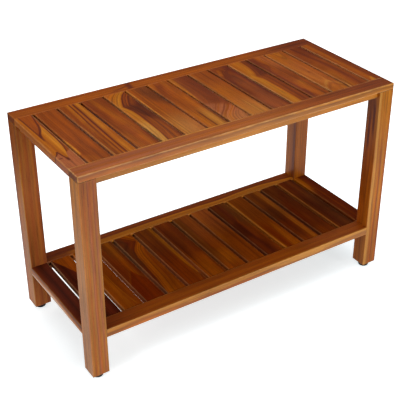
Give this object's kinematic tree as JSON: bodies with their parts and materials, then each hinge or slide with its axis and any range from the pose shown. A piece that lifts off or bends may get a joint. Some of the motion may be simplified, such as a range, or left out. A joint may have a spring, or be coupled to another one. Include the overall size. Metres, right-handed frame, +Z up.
{
  "type": "slatted shower bench with shelf",
  "caption": "Slatted teak shower bench with a lower shelf and screw-in levelling glides under its square legs.",
  "frame": {"origin": "centre of the footprint, on the floor under the glides", "axes": "+X along the seat's length, +Y from front to back, +Z up out of the seat"},
  "size_m": [0.737, 0.307, 0.465],
  "materials": {
    "teak_red": "oiled teak, reddish brown heartwood",
    "teak_brown": "oiled teak, mid brown heartwood",
    "teak_dark": "oiled teak, dark heartwood",
    "teak_gold": "oiled teak, golden",
    "teak_tan": "oiled teak, light tan with sapwood",
    "pale_dowel": "plain beech dowel",
    "zinc_plated_steel": "zinc-plated steel",
    "black_nylon": "black moulded nylon"
  },
  "bodies": {
    "bench": {"seat_rail_front": "teak_brown", "seat_rail_back": "teak_brown", "seat_end_left": "teak_red", "seat_end_right": "teak_gold", "seat_slat_1": "teak_red", "seat_slat_2": "teak_brown", "seat_slat_3": "teak_red", "seat_slat_4": "teak_gold", "seat_slat_5": "teak_tan", "seat_slat_6": "teak_red", "seat_slat_7": "teak_dark", "seat_slat_8": "teak_tan", "seat_slat_9": "teak_dark", "seat_slat_10": "teak_gold", "seat_slat_11": "teak_red", "seat_slat_12": "teak_tan", "seat_slat_13": "teak_brown", "apron_front": "teak_tan", "apron_back": "teak_tan", "apron_left": "teak_brown", "apron_right": "teak_brown", "leg_front_left": "teak_red", "leg_front_right": "teak_gold", "leg_back_left": "teak_red", "leg_back_right": "teak_gold", "shelf_rail_front": "teak_red", "shelf_rail_back": "teak_brown", "shelf_end_left": "teak_dark", "shelf_end_right": "teak_dark", "shelf_slat_1": "teak_brown", "shelf_slat_2": "teak_red", "shelf_slat_3": "teak_brown", "shelf_slat_4": "teak_red", "shelf_slat_5": "teak_dark", "shelf_slat_6": "teak_brown", "shelf_slat_7": "teak_red", "shelf_slat_8": "teak_dark", "shelf_slat_9": "teak_brown", "shelf_slat_10": "teak_dark", "shelf_slat_11": "teak_red", "shelf_slat_12": "teak_dark", "shelf_slat_13": "teak_brown", "glide_insert_front_left": "zinc_plated_steel", "glide_insert_front_right": "zinc_plated_steel", "glide_insert_back_left": "zinc_plated_steel", "glide_insert_back_right": "zinc_plated_steel", "leg_dowels": "pale_dowel", "apron_dowels": "pale_dowel"},
    "stud_front_left": {"glide_stud_front_left": "zinc_plated_steel"},
    "pad_front_left": {"glide_pad_front_left": "black_nylon"},
    "stud_front_right": {"glide_stud_front_right": "zinc_plated_steel"},
    "pad_front_right": {"glide_pad_front_right": "black_nylon"},
    "stud_back_left": {"glide_stud_back_left": "zinc_plated_steel"},
    "pad_back_left": {"glide_pad_back_left": "black_nylon"},
    "stud_back_right": {"glide_stud_back_right": "zinc_plated_steel"},
    "pad_back_right": {"glide_pad_back_right": "black_nylon"}
  },
  "joints": [
    {"name": "glide_travel_front_left", "type": "slide", "parent": "bench", "child": "stud_front_left", "axis": [0, 0, -1], "range_m": [0, 0.0075]},
    {"name": "glide_turn_front_left", "type": "hinge", "parent": "stud_front_left", "child": "pad_front_left", "pos_m": [-0.35025, -0.13525, 0], "axis": [0, 0, -1], "range_deg": [0, 2160]},
    {"name": "glide_travel_front_right", "type": "slide", "parent": "bench", "child": "stud_front_right", "axis": [0, 0, -1], "range_m": [0, 0.0075]},
    {"name": "glide_turn_front_right", "type": "hinge", "parent": "stud_front_right", "child": "pad_front_right", "pos_m": [0.35025, -0.13525, 0], "axis": [0, 0, -1], "range_deg": [0, 2160]},
    {"name": "glide_travel_back_left", "type": "slide", "parent": "bench", "child": "stud_back_left", "axis": [0, 0, -1], "range_m": [0, 0.0075]},
    {"name": "glide_turn_back_left", "type": "hinge", "parent": "stud_back_left", "child": "pad_back_left", "pos_m": [-0.35025, 0.13525, 0], "axis": [0, 0, -1], "range_deg": [0, 2160]},
    {"name": "glide_travel_back_right", "type": "slide", "parent": "bench", "child": "stud_back_right", "axis": [0, 0, -1], "range_m": [0, 0.0075]},
    {"name": "glide_turn_back_right", "type": "hinge", "parent": "stud_back_right", "child": "pad_back_right", "pos_m": [0.35025, 0.13525, 0], "axis": [0, 0, -1], "range_deg": [0, 2160]}
  ],
  "couplings": [
    {"joint": "glide_travel_front_left", "follows": "glide_turn_front_left", "m_per_rad": 0.00019894},
    {"joint": "glide_travel_front_right", "follows": "glide_turn_front_right", "m_per_rad": 0.00019894},
    {"joint": "glide_travel_back_left", "follows": "glide_turn_back_left", "m_per_rad": 0.00019894},
    {"joint": "glide_travel_back_right", "follows": "glide_turn_back_right", "m_per_rad": 0.00019894}
  ]
}
